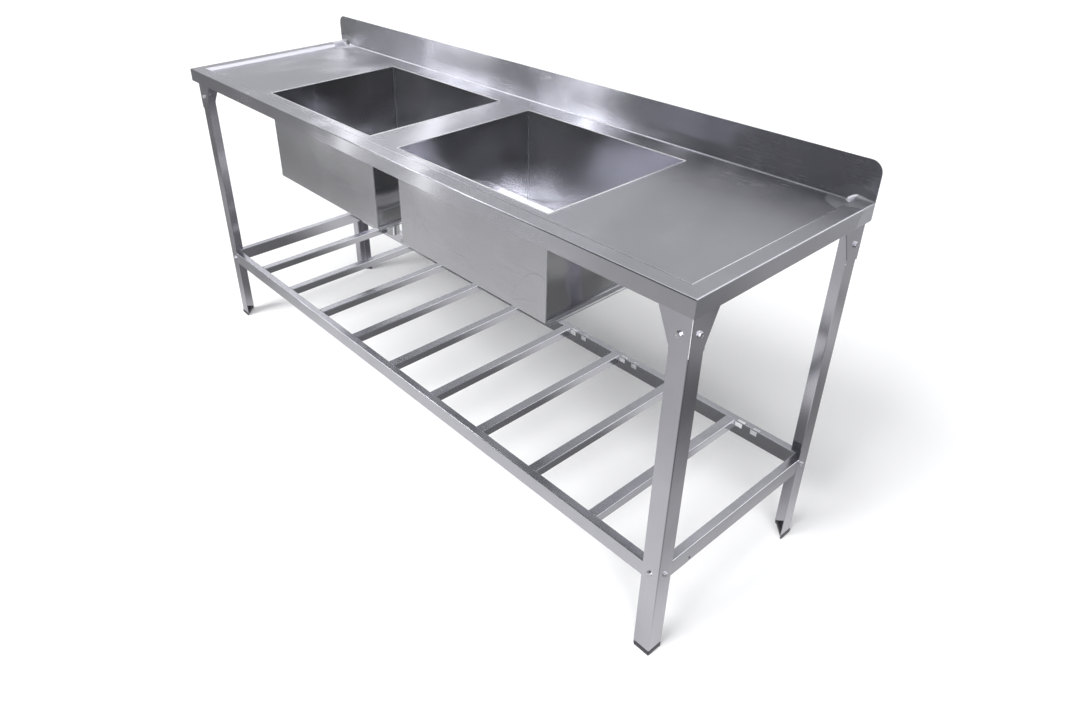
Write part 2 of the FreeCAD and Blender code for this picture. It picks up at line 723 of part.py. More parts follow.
def coupling_nut(x, y):
    """Slip nut: hexagon outside, threaded on the spigot, its lip under the tailpiece's flange."""
    lip_top = tail_top - TAIL_FLANGE_THICKNESS
    low = lip_top - COUPLING_LIP
    high = spigot_end + COUPLING_OVERLAP
    neck = TAIL_RADIUS + TAIL_COLLAR + TAIL_CLEARANCE
    thread = spigot_radius + THREAD_CLEARANCE
    flats = 2 * (thread + COUPLING_WALL)
    nut = prism(hexagon(flats, Vector(x, y, low)), Vector(0, 0, high - low))
    bore = turned(
        [
            (0, low, 0),
            (neck, low, 0),
            (neck, lip_top, 0),
            (thread, lip_top, 0),
            (thread, high, 0),
            (0, high, 0),
        ], x, y)
    return nut.cut(bore)


def basket_stopper(x, y):
    """Rubber disc under the basket, which closes the outlet when the basket is down."""
    low = stopper_top - STOPPER_THICKNESS
    radius = spigot_bore + STOPPER_OVERLAP
    return Part.makeCylinder(radius, STOPPER_THICKNESS, Vector(x, y, low))


def basket(x, y):
    """Lift-out strainer basket with a slotted wall, a holed floor and a knob on its post."""
    floor_top = stopper_top + BASKET_SHEET
    rim = stopper_top + BASKET_HEIGHT
    post_top = floor_top + POST_RISE
    knob_top = post_top + KNOB_HEIGHT
    cup = turned(
        [
            (0, stopper_top, 0),
            (basket_foot, stopper_top, 0),
            (basket_rim, rim, 0),
            (basket_rim - BASKET_SHEET, rim, 0),
            (basket_foot - BASKET_SHEET, floor_top, 0),
            (POST_RADIUS, floor_top, 0),
            (POST_RADIUS, post_top, 0),
            (KNOB_RADIUS, post_top, 0),
            (KNOB_RADIUS, knob_top - EASED, 0),
            (KNOB_RADIUS - EASED, knob_top, 0),
            (0, knob_top, 0),
        ], x, y)
    cutters = []
    for index in range(BASKET_SLOTS):
        slot = box(
            basket_foot - 3 * BASKET_SHEET, -SLOT_WIDTH / 2, floor_top + SLOT_MARGIN,
            basket_rim + BASKET_SHEET, SLOT_WIDTH / 2, rim - SLOT_MARGIN)
        slot.rotate(Vector(), Vector(0, 0, 1), index * 360 / BASKET_SLOTS)
        cutters.append(slot)
    ring_radius = basket_foot - HOLE_INSET
    for index in range(BASKET_HOLES):
        angle = 2 * math.pi * index / BASKET_HOLES
        center = Vector(ring_radius * math.cos(angle), ring_radius * math.sin(angle), stopper_top)
        cutters.append(Part.makeCylinder(HOLE_RADIUS, BASKET_SHEET, center))
    for cutter in cutters:
        cutter.translate(Vector(x, y, 0))
    return cup.cut(cutters)


# ---- Assembly ------------------------------------------------------------------------------
def all_nodes():
    nodes = {"worktop": worktop()}
    for side, center in BOWLS.items():
        nodes[f"{side}_bowl"] = bowl(center)
        nodes[f"{side}_bowl_left_side"] = bowl_side(center, -1)
        nodes[f"{side}_bowl_right_side"] = bowl_side(center, 1)
        nodes[f"{side}_deck_stiffener"] = stiffener(math.copysign(1, center))
        nodes[f"{side}_strainer_body"] = strainer_body(center, bowl_middle)
        nodes[f"{side}_strainer_gasket"] = strainer_gasket(center, bowl_middle)
        nodes[f"{side}_strainer_locknut"] = strainer_locknut(center, bowl_middle)
        nodes[f"{side}_tail_washer"] = tail_washer(center, bowl_middle)
        nodes[f"{side}_tailpiece"] = tailpiece(center, bowl_middle)
        nodes[f"{side}_coupling_nut"] = coupling_nut(center, bowl_middle)
        nodes[f"{side}_strainer_basket"] = basket(center, bowl_middle)
        nodes[f"{side}_basket_stopper"] = basket_stopper(center, bowl_middle)
    for name, corner in CORNERS.items():
        nodes[f"leg_{name}"] = leg(corner)
        nodes[f"leg_bracket_{name}"] = bracket(corner)
        nodes[f"foot_{name}"] = foot(corner)
    nodes.update(rails())
    for index in range(1, SLAT_COUNT + 1):
        nodes[f"shelf_slat_{index}"] = slat(index)
    nodes.update(fasteners())
    return nodes


os.makedirs("parts", exist_ok=True)
for node, shape in all_nodes().items():
    shape.exportStep(f"parts/{node}.step")
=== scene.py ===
import math

import bmesh
import bpy
from mathutils import Euler, Matrix, Vector


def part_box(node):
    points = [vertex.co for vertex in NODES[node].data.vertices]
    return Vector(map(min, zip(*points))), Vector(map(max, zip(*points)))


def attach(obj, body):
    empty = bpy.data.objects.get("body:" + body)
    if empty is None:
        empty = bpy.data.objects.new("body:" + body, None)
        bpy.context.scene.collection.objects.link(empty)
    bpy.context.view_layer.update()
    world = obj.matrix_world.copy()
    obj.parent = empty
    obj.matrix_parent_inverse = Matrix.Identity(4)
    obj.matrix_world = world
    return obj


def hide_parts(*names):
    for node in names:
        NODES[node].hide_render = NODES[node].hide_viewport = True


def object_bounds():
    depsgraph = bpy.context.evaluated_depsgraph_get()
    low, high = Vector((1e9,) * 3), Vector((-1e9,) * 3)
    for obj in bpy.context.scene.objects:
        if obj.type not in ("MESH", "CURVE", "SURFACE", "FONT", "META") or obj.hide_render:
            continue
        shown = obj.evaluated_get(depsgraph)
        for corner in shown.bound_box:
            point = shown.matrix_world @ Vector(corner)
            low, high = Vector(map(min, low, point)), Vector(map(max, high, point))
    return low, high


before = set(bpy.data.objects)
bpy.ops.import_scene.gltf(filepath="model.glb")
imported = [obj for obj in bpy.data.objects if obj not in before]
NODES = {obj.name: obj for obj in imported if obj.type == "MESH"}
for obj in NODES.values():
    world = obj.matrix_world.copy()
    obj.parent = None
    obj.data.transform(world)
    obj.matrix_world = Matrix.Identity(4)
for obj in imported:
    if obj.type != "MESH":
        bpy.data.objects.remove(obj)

CAD_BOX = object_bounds()
bpy.context.scene.view_settings.view_transform = "Standard"
SIDES = ("left", "right")

# ---- Sizes that the frame's boxes don't give, in metres --------------------------------------
SHEET = 0.0012  # thickness of the worktop and the bowls
RIM_TOP = 0.855  # height of the raised rim
RIM_STEP = 0.008  # drop from the rim to the deck
RIM_INSIDE = 0.044  # from the worktop's edge to the foot of that step
STEP_RUN = 0.009  # how far the step slopes
DECK = RIM_TOP - RIM_STEP


def names(*starts):
    """CAD nodes whose names begin with any of these words."""
    return sorted(name for name in NODES if name.startswith(starts))


# ---- Camera ----------------------------------------------------------------------------------
def add_camera():
    """Camera at the photo's viewing angle, with the shift that its framing needs."""
    data = bpy.data.cameras.new("camera")
    data.sensor_width = 36.0
    data.lens = 27.138
    data.shift_x = 0.0548
    data.shift_y = -0.0470
    camera = bpy.data.objects.new("camera", data)
    camera.location = (1.5667, -1.2074, 1.4861)
    camera.rotation_euler = Euler([math.radians(a) for a in (59.148, 1.054, 49.917)])
    bpy.context.scene.collection.objects.link(camera)
    bpy.context.scene.camera = camera


# ---- Node-building helpers -------------------------------------------------------------------
def add_node(tree, kind, inputs=None, **settings):
    """Shader node with its settings made and each input set to a value or linked to a socket."""
    made = tree.nodes.new(kind)
    for name, value in settings.items():
        setattr(made, name, value)
    for name, value in (inputs or {}).items():
        if isinstance(value, bpy.types.NodeSocket):
            tree.links.new(value, made.inputs[name])
        else:
            made.inputs[name].default_value = value
    return made


def math_node(tree, operation, *values, clamp=False):
    inputs = dict(enumerate(values))
    made = add_node(tree, "ShaderNodeMath", inputs, operation=operation, use_clamp=clamp)
    return made.outputs[0]


def total(tree, first, *others):
    """Sum of several values."""
    for other in others:
        first = math_node(tree, "ADD", first, other)
    return first


def product(tree, first, second):
    return math_node(tree, "MULTIPLY", first, second)


def lessen(tree, value, share):
    """A value with a share of it taken away."""
    return product(tree, value, math_node(tree, "SUBTRACT", 1.0, share))


def remap(tree, value, from_low, from_high, to_low, to_high, **settings):
    made = add_node(tree, "ShaderNodeMapRange", {
        "Value": value, "From Min": from_low, "From Max": from_high,
        "To Min": to_low, "To Max": to_high}, **settings)
    return made.outputs["Result"]


def ramp(tree, value, start, end, height=1.0):
    """Rises from 0, where value is at start, to height, where it is at end."""
    return remap(tree, value, start, end, 0.0, height)


def bands(tree, value, *rows):
    """Sum of soft bumps; each row is the value at a bump's middle, its half width and height."""
    made = []
    for middle, half_width, height in rows:
        away = math_node(tree, "ABSOLUTE", math_node(tree, "SUBTRACT", value, middle))
        made.append(remap(
            tree, away, 0.0, half_width, height, 0.0, interpolation_type="SMOOTHSTEP"))
    return total(tree, *made)


def noise(tree, vector, scale, detail, roughness=0.5):
    made = add_node(tree, "ShaderNodeTexNoise", {
        "Vector": vector, "Scale": scale, "Detail": detail, "Roughness": roughness})
    return made.outputs["Fac"]


def stretched(tree, vector, scale):
    """Coordinates scaled by a different factor along each axis."""
    return add_node(tree, "ShaderNodeMapping", {"Vector": vector, "Scale": scale}).outputs[0]


def split(tree, vector):
    """The X, Y and Z sockets of a vector."""
    return add_node(tree, "ShaderNodeSeparateXYZ", {"Vector": vector}).outputs


def distance(tree, place, point):
    made = add_node(
        tree, "ShaderNodeVectorMath", {0: place, 1: point}, operation="DISTANCE")
    return made.outputs["Value"]


def mix_colors(tree, factor, first, second):
    """Mix of two colours; 6, 7 and 2 are the Mix node's colour sockets."""
    made = add_node(
        tree, "ShaderNodeMix", {0: factor, 6: first, 7: second}, data_type="RGBA")
    return made.outputs[2]


def new_material(name, **shader):
    """Material with a Principled shader; keyword names are its sockets, with _ for a space."""
    material = bpy.data.materials.new(name)
    material.use_nodes = True
    tree = material.node_tree
    surface = tree.nodes["Principled BSDF"]
    for socket, value in shader.items():
        surface.inputs[socket.replace("_", " ")].default_value = value
    place = add_node(tree, "ShaderNodeTexCoord").outputs["Object"]
    return material, tree, surface, place


# ---- Mesh helpers ----------------------------------------------------------------------------
def ring(radius_at, height, count):
    """Points round the Z axis, radius_at(angle) from it."""
    turns = [2 * math.pi * index / count for index in range(count)]
    return [
        Vector((radius_at(a) * math.cos(a), radius_at(a) * math.sin(a), height)) for a in turns]


def circle(radius, height, count=24):
    return ring(lambda angle: radius, height, count)


def skin(shape, rings, place=None, capped=True):
    """Faces between successive rings of points, and one over each end if capped."""
    place = place or Matrix()
    rows = [[shape.verts.new(place @ point) for point in points] for points in rings]
    for low, high in zip(rows, rows[1:]):
        for index in range(len(low)):
            after = (index + 1) % len(low)
            shape.faces.new((low[index], low[after], high[after], high[index]))
    if capped:
        shape.faces.new(rows[0][::-1])
        shape.faces.new(rows[-1])


def along(point, direction):
    """Frame at a point with its Z axis along a direction."""
    turn = Vector(direction).to_track_quat("Z", "Y").to_matrix().to_4x4()
    return Matrix.Translation(point) @ turn


def add_piece(name, shape, material, smooth):
    """Makes a bmesh a piece of the table; edges sharper than smooth, in radians, stay crisp."""
    bmesh.ops.recalc_face_normals(shape, faces=shape.faces)
    for face in shape.faces:
        face.smooth = True
    for edge in shape.edges:
        edge.smooth = len(edge.link_faces) == 2 and edge.calc_face_angle() < smooth
    mesh = bpy.data.meshes.new(name)
    shape.to_mesh(mesh)
    shape.free()
    mesh.materials.append(material)
    piece = bpy.data.objects.new(name, mesh)
    bpy.context.scene.collection.objects.link(piece)
    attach(piece, "sink_table")
    return piece


def solid_boxes(name):
    """Lowest and highest corners of each separate solid in a node."""
    shape = bmesh.new()
    shape.from_mesh(NODES[name].data)
    bmesh.ops.remove_doubles(shape, verts=shape.verts, dist=0.00001)
    unseen, boxes = set(shape.verts), []
    while unseen:
        front, points = [unseen.pop()], []
        while front:
            vertex = front.pop()
            points.append(vertex.co.copy())
            near = [edge.other_vert(vertex) for edge in vertex.link_edges]
            front += [other for other in near if other in unseen]
            unseen.difference_update(near)
        boxes.append((
            Vector([min(p[axis] for p in points) for axis in range(3)]),
            Vector([max(p[axis] for p in points) for axis in range(3)])))
    shape.free()
    return sorted(boxes, key=lambda corners: tuple(corners[0]))


# ---- Softened edges --------------------------------------------------------------------------
SAME_POINT = 0.00002
SOFT_ANGLE = math.radians(40)


def soften(width, *nodes):
    """Rounds the edges of CAD nodes that are sharper than SOFT_ANGLE, to catch the light."""
    for name in nodes:
        weld = NODES[name].modifiers.new("weld", "WELD")
        weld.merge_threshold = SAME_POINT
        bevel = NODES[name].modifiers.new("soft_edges", "BEVEL")
        bevel.width = width
        bevel.segments = 2
        bevel.limit_method = "ANGLE"
        bevel.angle_limit = SOFT_ANGLE
        bevel.harden_normals = True


# ---- Bolts and nuts, M6 ----------------------------------------------------------------------
HEX_FLATS = 0.010
HEX_POINTS = 48  # round a hexagon, a multiple of 6 so that its corners are among them
HEX_TURNED = HEX_FLATS * 0.47  # radius of the flat end inside the chamfer
HEX_CONE = math.radians(28)
HEAD = 0.004
HEAD_RIM = HEX_FLATS * 0.40  # radii of the shallow dish in a bolt's head
HEAD_DISH = HEX_FLATS * 0.37
DISH_DEPTH = 0.0003
WASHER = 0.0009
WASHER_RADIUS = 0.0064
WASHER_EDGE = 0.0002
WASHER_POINTS = 32
THREAD = 0.003
THREAD_ROOT = THREAD * 0.88
THREAD_TAIL = THREAD * 0.7
THREAD_START = 0.0004
THREAD_POINTS = 16
PITCH = 0.001
BORE = THREAD * 1.02
BORE_SINK = 0.0005  # width of a nut's countersink
BORE_SINK_DEPTH = 0.0004


def hexagon_radius(angle):
    """Distance from the middle of a hexagon to its side, along an angle."""
    return HEX_FLATS / 2 / math.cos(angle % (math.pi / 3) - math.pi / 6)


def hex_rings(low, high, top_only):
    """Rings of a hexagon whose corners are turned down to a cone at one or both ends."""
    def chamfered(height, sign):
        points = ring(hexagon_radius, 0.0, HEX_POINTS)
        for index, point in enumerate(points):
            corner = hexagon_radius(2 * math.pi * index / HEX_POINTS) - HEX_TURNED
            point.z = height + sign * (corner * math.tan(HEX_CONE))
        return points

    bottom = [ring(hexagon_radius, low, HEX_POINTS)]
    if not top_only:
        bottom = [circle(HEX_TURNED, low, HEX_POINTS), chamfered(low, 1)]
    return bottom + [chamfered(high, -1), circle(HEX_TURNED, high, HEX_POINTS)]


def bolt(shape, place, length):
    """Washer, hexagon head and threaded shank; the head's top is at length, the tail at zero."""
    seat = length - HEAD
    flat, top = WASHER_RADIUS - WASHER_EDGE, seat + WASHER
    skin(shape, [circle(radius, height, WASHER_POINTS) for radius, height in (
        (flat, seat), (WASHER_RADIUS, seat + WASHER_EDGE),
        (WASHER_RADIUS, top - WASHER_EDGE), (flat, top))], place)
    rings = hex_rings(top, length, True)
    rings.append(circle(HEAD_RIM, length, HEX_POINTS))
    rings.append(circle(HEAD_DISH, length - DISH_DEPTH, HEX_POINTS))
    skin(shape, rings, place)
    rings = [circle(THREAD_TAIL, 0.0, THREAD_POINTS)]
    for step in range(int(seat / PITCH * 2)):
        radius = THREAD if step % 2 else THREAD_ROOT
        height = THREAD_START + step * PITCH / 2
        rings.append([
            point + Vector((0, 0, PITCH * index / THREAD_POINTS))
            for index, point in enumerate(circle(radius, height, THREAD_POINTS))])
    skin(shape, rings, place)


def nut(shape, place, height):
    """Hexagon nut with both faces chamfered and a countersunk bore."""
    mouth = BORE + BORE_SINK
    rings = [circle(BORE, BORE_SINK_DEPTH, HEX_POINTS), circle(mouth, 0.0, HEX_POINTS)]
    rings += hex_rings(0.0, height, False)
    rings += [
        circle(mouth, height, HEX_POINTS), circle(BORE, height - BORE_SINK_DEPTH, HEX_POINTS)]
    skin(shape, rings + rings[:1], place, capped=False)
    bmesh.ops.remove_doubles(shape, verts=shape.verts, dist=0.000001)


def add_fasteners(zinc):
    """Bolts and nuts of real form where the CAD has plain ones, each on its solid's own axis."""
    for name in names("bracket_bolts", "shelf_bolts", "bracket_nuts", "shelf_nuts"):
        build, pick = (bolt, max) if "bolts" in name else (nut, min)
        shape = bmesh.new()
        for low, high in solid_boxes(name):
            size, middle = high - low, (low + high) / 2
            axis = pick(range(3), key=lambda index: size[index])
            outward = Vector()
            outward[axis] = math.copysign(1.0, middle[axis])
            build(shape, along(middle - outward * size[axis] / 2, outward), size[axis])
        piece = add_piece(name + "_detail", shape, zinc, smooth=0.5)
        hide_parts(name)


# ---- Weld seams and bright edges -------------------------------------------------------------
SUNK = 0.0002  # how deep the foot of an added piece lies in the metal under it
BEAD_SIDES = 8
RIPPLE = 0.12
RIPPLE_PITCH = {"slat": 0.0022, "bowl": 0.0016}
SEAM_TAPER = 0.45  # share of a seam's radius that is left at its ends
SLAT_BEAD = 0.0011
SLAT_SEAM_ENDS = (0.001, -0.002)  # from the slat's foot and head
BOWL_SEAM_ENDS = (0.004, -0.001)
BOWL_BEADS = ((0.0, 0.0007), (SHEET, 0.0009))  # distance into the side's sheet, radius
BOWL_FOOT_BEADS = ((0.0010, 0.0012), (0.0065, 0.0008))  # height over the side's foot, radius
OPENING_BEAD = 0.0010
OPENING_PROUD = 0.0002  # height of its middle over the deck
STEP_BEADS = (  # inset from the worktop's edge, height, radius
    (RIM_INSIDE - STEP_RUN, RIM_TOP, 0.0006), (RIM_INSIDE, DECK, 0.0004))
BRACKET_INSET = 0.0012  # from a bracket's box to the middle of its beads
BRACKET_BEAD = 0.0007
FOLD_BEAD = 0.0009
FOLD_PROUD = 0.0003
FOLD_END = -0.002  # from the bracket's top


def seam(shape, start, end, radius, pitch):
    """Rippled weld bead between two points."""
    start, end = Vector(start), Vector(end)
    length = (end - start).length
    place = along(start, end - start)
    steps = max(6, round(length / pitch * 3))
    rings = []
    for step in range(steps + 1):
        height = length * step / steps
        ripple = 1.0 - RIPPLE + RIPPLE * math.cos(2 * math.pi * height / pitch)
        taper = min(1.0, SEAM_TAPER + min(height, length - height) / radius * 0.5)
        rings.append(circle(radius * ripple * taper, height, BEAD_SIDES))
    skin(shape, rings, place)


def bead(shape, radius, *points):
    """Thin smooth round edge through a row of points."""
    cap = radius * 0.5
    for start, end in zip(points, points[1:]):
        start, end = Vector(start), Vector(end)
        length = (end - start).length
        rings = [
            circle(size, height, BEAD_SIDES) for size, height in (
                (cap, -cap), (radius, 0.0), (radius, length), (cap, length + cap))]
        skin(shape, rings, along(start, end - start))


def three_sides(inset, height):
    """Points along the left, front and right sides of the worktop, inset from its edges."""
    low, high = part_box("worktop")
    rear = high[1] - SHEET
    return (
        (low[0] + inset, rear, height), (low[0] + inset, low[1] + inset, height),
        (high[0] - inset, low[1] + inset, height), (high[0] - inset, rear, height))


def add_seams(materials):
    """Weld beads at the slats and the bowls' corners, and the bowls' folded lower edges."""
    shape = bmesh.new()
    for name in names("shelf_slat"):
        low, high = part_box(name)
        bottom, top = low[2] + SLAT_SEAM_ENDS[0], high[2] + SLAT_SEAM_ENDS[1]
        for x in (low[0], high[0]):
            for y in (low[1], high[1]):
                seam(shape, (x, y, bottom), (x, y, top), SLAT_BEAD, RIPPLE_PITCH["slat"])
    add_piece("slat_welds", shape, materials["weld"], smooth=1.2)
    for side in SIDES:
        shape = bmesh.new()
        for end, sign in (("left", -1), ("right", 1)):
            low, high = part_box(side + "_bowl_" + end + "_side")
            bottom, top = low[2] + BOWL_SEAM_ENDS[0], high[2] + BOWL_SEAM_ENDS[1]
            inner, outer = (low[0], high[0]) if sign > 0 else (high[0], low[0])
            for into, radius in BOWL_BEADS:
                x = inner + sign * into
                for y in (low[1], high[1]):
                    seam(shape, (x, y, bottom), (x, y, top), radius, RIPPLE_PITCH["bowl"])
            for height, radius in BOWL_FOOT_BEADS:
                z = low[2] + height
                bead(shape, radius, (outer, low[1], z), (outer, high[1], z))
        add_piece(side + "_bowl_welds", shape, materials["weld"], smooth=1.2)


def add_edges_painted_bright(materials):
    """Beads on ground edges, in pale finishes that paint a highlight on them: the bowls'
    openings, the rim's step, the brackets' folds and feet.
    """
    for side in SIDES:
        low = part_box(side + "_bowl_left_side")[1][0]
        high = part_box(side + "_bowl_right_side")[0][0]
        front, rear = (corner[1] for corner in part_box(side + "_bowl_left_side"))
        shape = bmesh.new()
        corners = ((low, front), (high, front), (high, rear), (low, rear), (low, front))
        bead(shape, OPENING_BEAD, *[(x, y, DECK + OPENING_PROUD) for x, y in corners])
        add_piece(
            side + "_opening_edge", shape, materials["bright_spot"], smooth=1.2)
    shape = bmesh.new()
    for inset, height, radius in STEP_BEADS:
        bead(shape, radius, *three_sides(inset, height))
    add_piece("rim_step_edge", shape, materials["polished_weld"], smooth=1.2)
    shape = bmesh.new()
    for name in names("leg_bracket_"):
        low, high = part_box(name)
        leg_low, leg_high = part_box(name.replace("bracket_", ""))
        x = low[0] + BRACKET_INSET if "left" in name else high[0] - BRACKET_INSET
        y = low[1] + BRACKET_INSET if "front" in name else high[1] - BRACKET_INSET
        far_x = leg_high[0] if "left" in name else leg_low[0]
        far_y = leg_high[1] if "front" in name else leg_low[1]
        foot, head = Vector((x, y, low[2])), Vector((x, y, high[2] + FOLD_END))
        bead(shape, BRACKET_BEAD, (far_x, y, low[2]), foot, (x, far_y, low[2]))
        proud = Vector((math.copysign(FOLD_PROUD, x), math.copysign(FOLD_PROUD, y), 0.0))
        bead(shape, FOLD_BEAD, foot + proud, head + proud)
    add_piece("bracket_edges", shape, materials["bright_spot"], smooth=1.2)


# ---- The splash's foot -----------------------------------------------------------------------
FOLD = 0.002
RIM_WELD = (
    # inset from the worktop's end, width on the metal below, height up the splash, level below
    (RIM_INSIDE + 0.010, 0.006, 0.005, DECK), (RIM_INSIDE, 0.013, 0.012, DECK),
    (RIM_INSIDE - 0.008, 0.017, 0.007, RIM_TOP), (RIM_INSIDE - 0.020, 0.011, 0.005, RIM_TOP),
    (0.001, 0.003, 0.002, RIM_TOP))
RIM_WELD_CURVE = ((1.0, 0.0), (0.52, 0.30), (0.20, 0.62), (0.0, 1.0))  # shares of both


def add_splash_fold(materials):
    """Polished fillet along the splash's foot, and the ground welds where it meets the rims;
    both are in a pale steel that paints a highlight on them.
    """
    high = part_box("worktop")[1]
    face, end = high[1] - SHEET, high[0]
    shape = bmesh.new()
    rings = []
    for x in (-(end - RIM_INSIDE), end - RIM_INSIDE):
        curve = [
            Vector((x, face - FOLD + FOLD * math.sin(a), DECK + FOLD - FOLD * math.cos(a)))
            for a in (math.radians(turn) for turn in range(0, 91, 15))]
        rings.append(curve + [Vector((x, face + SUNK, DECK - SUNK))])
    skin(shape, rings)
    add_piece("splash_fold", shape, materials["polished_weld"], smooth=0.7)
    for side, sign in (("left", -1), ("right", 1)):
        shape = bmesh.new()
        rings = []
        for inset, run, rise, level in RIM_WELD:
            x = sign * (end - inset)
            curve = [
                Vector((x, face - run * out, level + rise * up)) for out, up in RIM_WELD_CURVE]
            rings.append(curve + [Vector((x, face + SUNK * 2, level - SUNK))])
        skin(shape, rings)
        add_piece(
            side + "_rim_weld", shape, materials["polished_weld"], smooth=0.3)


# ---- Details of the shelf --------------------------------------------------------------------
# Raised spots beside three slats, in pale finishes that paint highlights on them.
SPOTTED_SLATS = ("shelf_slat_6", "shelf_slat_7", "shelf_slat_9")
SPOTS = (  # finish, distance from the slat, half length
    ("bright_spot", 0.011, 0.0095), ("dim_spot", 0.052, 0.0085))
SPOT_HALF_HEIGHT = 0.0062  # on the rail's face
SPOT_HALF_DEPTH = 0.0042  # on its top
SPOT_MIDDLE = 0.0085  # below the rail's top
SPOT_RISE = 0.0004
LAP_LENGTH = 0.055
# Radius and height of a near-black dome that paints the shade of a notch past the rail's lap.
NOTCH_SHADE_DOME = ((0.0030, -0.0001), (0.0030, 0.0004), (0.0024, 0.0007), (0.0014, 0.0003))


def patch(shape, place, long, wide):
    """Slightly raised rectangle with softened edges, its middle along the place's Z axis."""
    rings = []
    for grow, rise in ((1.0, -0.0001), (1.0, SPOT_RISE * 0.5), (0.86, SPOT_RISE)):
        x, y = long * grow, wide * grow
        rings.append([Vector((a, b, rise)) for a, b in ((-x, -y), (x, -y), (x, y), (-x, y))])
    skin(shape, rings, place)


def add_shelf_details(materials):
    """Ground spots on the rear rail beside three slats, in pale finishes that paint highlights on
    them; the right rail's lap, and a near-black dome that paints the shade of a notch past it.
    """
    low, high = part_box("shelf_rear_rail")
    shapes = {finish: bmesh.new() for finish, *_ in SPOTS}
    for name in SPOTTED_SLATS:
        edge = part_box(name)[1][0]
        for finish, step, long in SPOTS:
            face = along((edge + step, low[1], high[2] - SPOT_MIDDLE), (0, -1, 0))
            top = Matrix.Translation((edge + step + 0.004, low[1] + 0.0055, high[2]))
            patch(shapes[finish], face, long, SPOT_HALF_HEIGHT)
            patch(shapes[finish], top, long, SPOT_HALF_DEPTH)
    for finish, shape in shapes.items():
        name = "shelf_spots_" + finish.removesuffix("_spot")
        add_piece(name, shape, materials[finish], smooth=0.3)
    low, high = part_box("shelf_right_rail")
    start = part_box("leg_front_right")[1][1]
    end = start + LAP_LENGTH
    outline = [
        (start, low[2] + 0.0005), (end, low[2] + 0.0005), (end + 0.003, low[2] + 0.007),
        (end - 0.004, high[2] - 0.002), (start, high[2] - 0.002)]
    shape = bmesh.new()
    skin(shape, [
        [Vector((high[0] + out, y, z)) for y, z in outline] for out in (-0.0001, 0.0006)])
    add_piece("right_rail_lap", shape, materials["shelf_sheet"], smooth=0.3)
    # A near-black dome past the lap's end paints the shade of the notch there.
    shape = bmesh.new()
    place = along((high[0], end + 0.0045, low[2] + 0.0085), (1, 0, 0))
    skin(shape, [circle(radius, height) for radius, height in NOTCH_SHADE_DOME], place)
    add_piece("right_rail_rivet", shape, materials["rubber"], smooth=0.5)


# ---- Materials -------------------------------------------------------------------------------
STEELS = {
    "brushed_top": dict(
        light=(0.65, 0.65, 0.69), dark=(0.57, 0.57, 0.61), roughness=0.23,
        grain=(16.0, 1300.0, 1300.0), wave=0.15, anisotropy=1.0, bump=0.02),
    "bowl_sheet": dict(
        light=(0.68, 0.68, 0.71), dark=(0.58, 0.58, 0.61), roughness=0.16,
        grain=(14.0, 900.0, 900.0), wave=0.2, anisotropy=0.4, metallic=0.97, bump=0.01),
    # The bowls' side walls: the bowl's steel made darker, which paints shade on them.
    "bowl_side_sheet": dict(
        light=(0.60, 0.60, 0.62), dark=(0.46, 0.46, 0.48), roughness=0.07,
        grain=(700.0, 14.0, 700.0), wave=0.8, metallic=0.98, bump=0.01),
    "leg_sheet": dict(
        light=(0.67, 0.66, 0.71), dark=(0.58, 0.57, 0.62), roughness=0.14,
        grain=(900.0, 900.0, 12.0), wave=0.6, streaks=0.12),
    "shelf_sheet": dict(
        light=(0.66, 0.66, 0.70), dark=(0.56, 0.56, 0.60), roughness=0.2,
        grain=(60.0, 60.0, 900.0), wave=0.4, streaks=0.1),
    "drain_steel": dict(
        light=(0.70, 0.70, 0.72), dark=(0.62, 0.62, 0.64), roughness=0.14,
        grain=(300.0, 300.0, 300.0), wave=0.1),
    "zinc": dict(
        light=(0.72, 0.72, 0.74), dark=(0.58, 0.58, 0.60), roughness=0.34,
        grain=(900.0, 900.0, 900.0), wave=0.1),
    "nickel": dict(
        light=(0.62, 0.62, 0.63), dark=(0.54, 0.54, 0.55), roughness=0.16,
        grain=(500.0, 500.0, 500.0), wave=0.1),
    "weld": dict(
        light=(0.62, 0.62, 0.66), dark=(0.42, 0.42, 0.46), roughness=0.3,
        grain=(700.0, 700.0, 700.0), wave=0.1),
    # Far paler than the other steels, so that it paints a highlight on the welds it covers.
    "polished_weld": dict(
        light=(0.88, 0.88, 0.92), dark=(0.78, 0.78, 0.82), roughness=0.3,
        grain=(800.0, 800.0, 800.0), wave=0.0, streaks=0.1, clouds=0.0),
    # Pale, partly matt finishes that paint highlights on edges and spots; the second is fainter.
    "bright_spot": dict(
        light=(0.95, 0.95, 0.97), dark=(0.86, 0.86, 0.88), roughness=0.35,
        grain=(900.0, 900.0, 900.0), wave=0.1, metallic=0.5),
    "dim_spot": dict(
        light=(0.78, 0.78, 0.82), dark=(0.62, 0.62, 0.66), roughness=0.35,
        grain=(300.0, 900.0, 900.0), wave=0.1, metallic=0.6, streaks=0.6),
}
PLASTICS = {"rubber": (0.03, 0.03, 0.032, 1), "shoe_plastic": (0.035, 0.035, 0.042, 1)}
SLOT_FINISHES = {
    "stainless_top": "brushed_top", "stainless_bowl": "bowl_sheet",
    "stainless_leg": "leg_sheet", "stainless_frame": "shelf_sheet",
    "stainless_drain": "drain_steel", "zinc_fastener": "zinc", "plated_fitting": "nickel",
    "rubber_seal": "rubber", "foot_plastic": "shoe_plastic"}
MOST_NOISE = (0.3, 0.7)  # levels between which most of a noise lies
SCRATCH_COLOR = (0.22, 0.22, 0.24, 1)
SCRATCH_WIDTH = 0.0018  # in levels of the noise that a scratch follows
WELD_ZONE = (0.064, 0.006)  # radius of the sheet ground dull round a weld, and its fading edge
WELD_ZONE_INSET = 0.035  # its middle from the worktop's end
WELD_ZONE_DROP = 0.045  # and below the rim
RUBBED_ZONE = (0.03, 0.09)
SPLASH_RUB = 0.03  # depth of the rub marks on the splash's top edge


